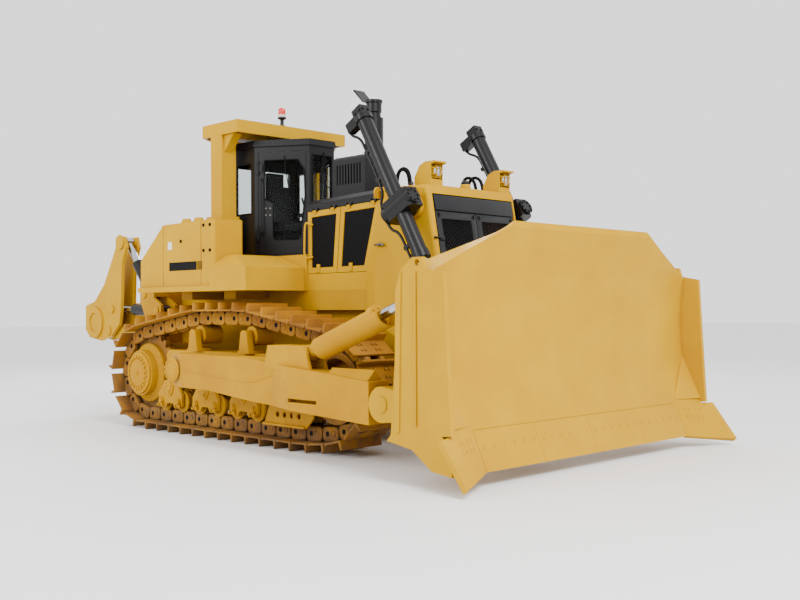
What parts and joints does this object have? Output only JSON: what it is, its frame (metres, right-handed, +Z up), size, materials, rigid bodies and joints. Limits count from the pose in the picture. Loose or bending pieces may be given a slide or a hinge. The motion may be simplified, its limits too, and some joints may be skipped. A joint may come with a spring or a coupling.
{
  "type": "crawler bulldozer",
  "caption": "Large crawler bulldozer with a straight push blade on outboard arms, a roll-over canopy over a narrow-nosed cab and a single-shank rear ripper.",
  "frame": {"origin": "on the ground under the middle of the machine's overall box", "axes": "+X towards the blade (the machine's front), +Y to its left, +Z up"},
  "size_m": [9.382, 4.738, 4.472],
  "materials": {
    "yellow_paint": "golden yellow paint, semi-gloss, light dust",
    "frame_paint": "yellow paint gone brown with soil",
    "black_paint": "satin black paint",
    "track_steel": "dark worn steel with dried soil",
    "bare_steel": "worn edge steel",
    "rod_chrome": "hard chrome",
    "engine_grey": "plain grey casting",
    "core_black": "dark radiator core",
    "grille_grey": "dark grey paint",
    "window_glass": "clear tinted glass",
    "seat_fabric": "dark woven fabric",
    "console_plastic": "dark grained plastic",
    "beacon_red": "red lens on a white and black stand"
  },
  "bodies": {
    "tractor": {"main_frame": "frame_paint", "equalizer_bar": "frame_paint", "pivot_shaft": "bare_steel", "track_frames": "frame_paint", "track_left": "track_steel", "track_right": "track_steel", "sprockets": "track_steel", "final_drives": "frame_paint", "idlers": "track_steel", "track_rollers": "frame_paint", "bogies": "frame_paint", "roller_guards": "frame_paint", "carrier_rollers": "frame_paint", "engine": "engine_grey", "radiator": "core_black", "radiator_guard": "yellow_paint", "grille": "grille_grey", "headlamps": "yellow_paint", "hood": "black_paint", "engine_sides": "yellow_paint", "fenders": "yellow_paint", "platform": "yellow_paint", "side_tanks": "yellow_paint", "rear_tank": "yellow_paint", "rops_canopy": "yellow_paint", "cab": "black_paint", "cab_roof": "black_paint", "cab_glass": "window_glass", "seat": "seat_fabric", "console": "console_plastic", "exhaust": "black_paint", "air_box": "black_paint", "beacon": "beacon_red", "ripper_bracket": "frame_paint"},
    "arms": {"push_arms": "frame_paint"},
    "blade": {"blade": "yellow_paint", "cutting_edges": "yellow_paint"},
    "lift_barrels": {"lift_barrels": "black_paint", "lift_yokes": "black_paint"},
    "lift_rods": {"lift_rods": "rod_chrome"},
    "tilt_barrels": {"tilt_barrels": "frame_paint"},
    "tilt_rods": {"tilt_rods": "rod_chrome"},
    "ripper_link": {"ripper_link": "yellow_paint"},
    "ripper_beam": {"ripper_beam": "yellow_paint", "ripper_shank": "bare_steel"},
    "ripper_lift_barrels": {"ripper_lift_barrels": "black_paint"},
    "ripper_lift_rods": {"ripper_lift_rods": "rod_chrome"},
    "ripper_tilt_barrels": {"ripper_tilt_barrels": "black_paint"},
    "ripper_tilt_rods": {"ripper_tilt_rods": "rod_chrome"},
    "cab_door_left": {"cab_door_left": "black_paint", "door_glass_left": "window_glass"},
    "cab_door_right": {"cab_door_right": "black_paint", "door_glass_right": "window_glass"},
    "engine_door_rear_left": {"engine_door_rear_left": "yellow_paint"},
    "engine_door_rear_right": {"engine_door_rear_right": "yellow_paint"},
    "engine_door_front_left": {"engine_door_front_left": "yellow_paint"},
    "engine_door_front_right": {"engine_door_front_right": "yellow_paint"}
  },
  "joints": [
    {"name": "blade_lift", "type": "hinge", "parent": "tractor", "child": "arms", "pos_m": [-0.5, 0, 0.873], "axis": [0, -1, 0], "range_deg": [-7, 17]},
    {"name": "blade_pitch", "type": "hinge", "parent": "arms", "child": "blade", "pos_m": [3.293, 0, 0.692], "axis": [0, -1, 0], "range_deg": [-5, 5]},
    {"name": "lift_cylinder_swing", "type": "hinge", "parent": "tractor", "child": "lift_barrels", "pos_m": [2.506, 0, 2.735], "axis": [0, -1, 0], "range_deg": [-8.5, 19.5]},
    {"name": "lift_rod_slide", "type": "slide", "parent": "lift_barrels", "child": "lift_rods", "axis": [0.4905, 0, -0.8715], "range_m": [-1.05, 0.44]},
    {"name": "tilt_cylinder_swing", "type": "hinge", "parent": "arms", "child": "tilt_barrels", "pos_m": [1.974, 0, 1.141], "axis": [0, -1, 0], "range_deg": [-2, 2]},
    {"name": "tilt_rod_slide", "type": "slide", "parent": "tilt_barrels", "child": "tilt_rods", "axis": [0.9407, 0, 0.3393], "range_m": [-0.08, 0.08]},
    {"name": "ripper_lift", "type": "hinge", "parent": "tractor", "child": "ripper_link", "pos_m": [-2.95, 0, 1.18], "axis": [0, 1, 0], "range_deg": [-22, 8]},
    {"name": "ripper_tilt", "type": "hinge", "parent": "ripper_link", "child": "ripper_beam", "pos_m": [-3.96, 0, 1.29], "axis": [0, 1, 0], "range_deg": [-6, 6]},
    {"name": "ripper_lift_cylinder_swing", "type": "hinge", "parent": "tractor", "child": "ripper_lift_barrels", "pos_m": [-2.56, 0, 1.6], "axis": [0, 1, 0], "range_deg": [-15.5, 6]},
    {"name": "ripper_lift_rod_slide", "type": "slide", "parent": "ripper_lift_barrels", "child": "ripper_lift_rods", "axis": [-0.9999, 0, 0.0155], "range_m": [-0.06, 0.155]},
    {"name": "ripper_tilt_cylinder_swing", "type": "hinge", "parent": "tractor", "child": "ripper_tilt_barrels", "pos_m": [-2.9, 0, 1.834], "axis": [0, 1, 0], "range_deg": [-29.5, 11]},
    {"name": "ripper_tilt_rod_slide", "type": "slide", "parent": "ripper_tilt_barrels", "child": "ripper_tilt_rods", "axis": [-0.6487, 0, 0.7611], "range_m": [-0.08, 0.205]},
    {"name": "cab_door_left_hinge", "type": "hinge", "parent": "tractor", "child": "cab_door_left", "pos_m": [-0.55396, 0.60416, 3], "axis": [0, 0, 1], "range_deg": [0, 78]},
    {"name": "cab_door_right_hinge", "type": "hinge", "parent": "tractor", "child": "cab_door_right", "pos_m": [-0.55396, -0.60416, 3], "axis": [0, 0, -1], "range_deg": [0, 78]},
    {"name": "engine_door_rear_left_hinge", "type": "hinge", "parent": "tractor", "child": "engine_door_rear_left", "pos_m": [0.8, 0.632, 2.83606], "axis": [0.9992, 0, 0.0393], "range_deg": [0, 80]},
    {"name": "engine_door_rear_right_hinge", "type": "hinge", "parent": "tractor", "child": "engine_door_rear_right", "pos_m": [0.8, -0.632, 2.83606], "axis": [-0.9992, 0, -0.0393], "range_deg": [0, 80]},
    {"name": "engine_door_front_left_hinge", "type": "hinge", "parent": "tractor", "child": "engine_door_front_left", "pos_m": [1.45, 0.632, 2.8616], "axis": [0.9992, 0, 0.0393], "range_deg": [0, 80]},
    {"name": "engine_door_front_right_hinge", "type": "hinge", "parent": "tractor", "child": "engine_door_front_right", "pos_m": [1.45, -0.632, 2.8616], "axis": [-0.9992, 0, -0.0393], "range_deg": [0, 80]}
  ],
  "couplings": [
    {"joint": "lift_cylinder_swing", "follows": "blade_lift", "ratio": 1.1192},
    {"joint": "lift_rod_slide", "follows": "blade_lift", "m_per_rad": -3.4993},
    {"joint": "tilt_cylinder_swing", "follows": "blade_pitch", "ratio": 0.3856},
    {"joint": "tilt_rod_slide", "follows": "blade_pitch", "m_per_rad": -0.8697},
    {"joint": "ripper_lift_cylinder_swing", "follows": "ripper_lift", "ratio": 0.6904},
    {"joint": "ripper_lift_rod_slide", "follows": "ripper_lift", "m_per_rad": -0.3892},
    {"joint": "ripper_tilt_cylinder_swing", "follows": "ripper_lift", "ratio": 1.3308},
    {"joint": "ripper_tilt_rod_slide", "follows": "ripper_lift", "m_per_rad": -0.5144}
  ]
}
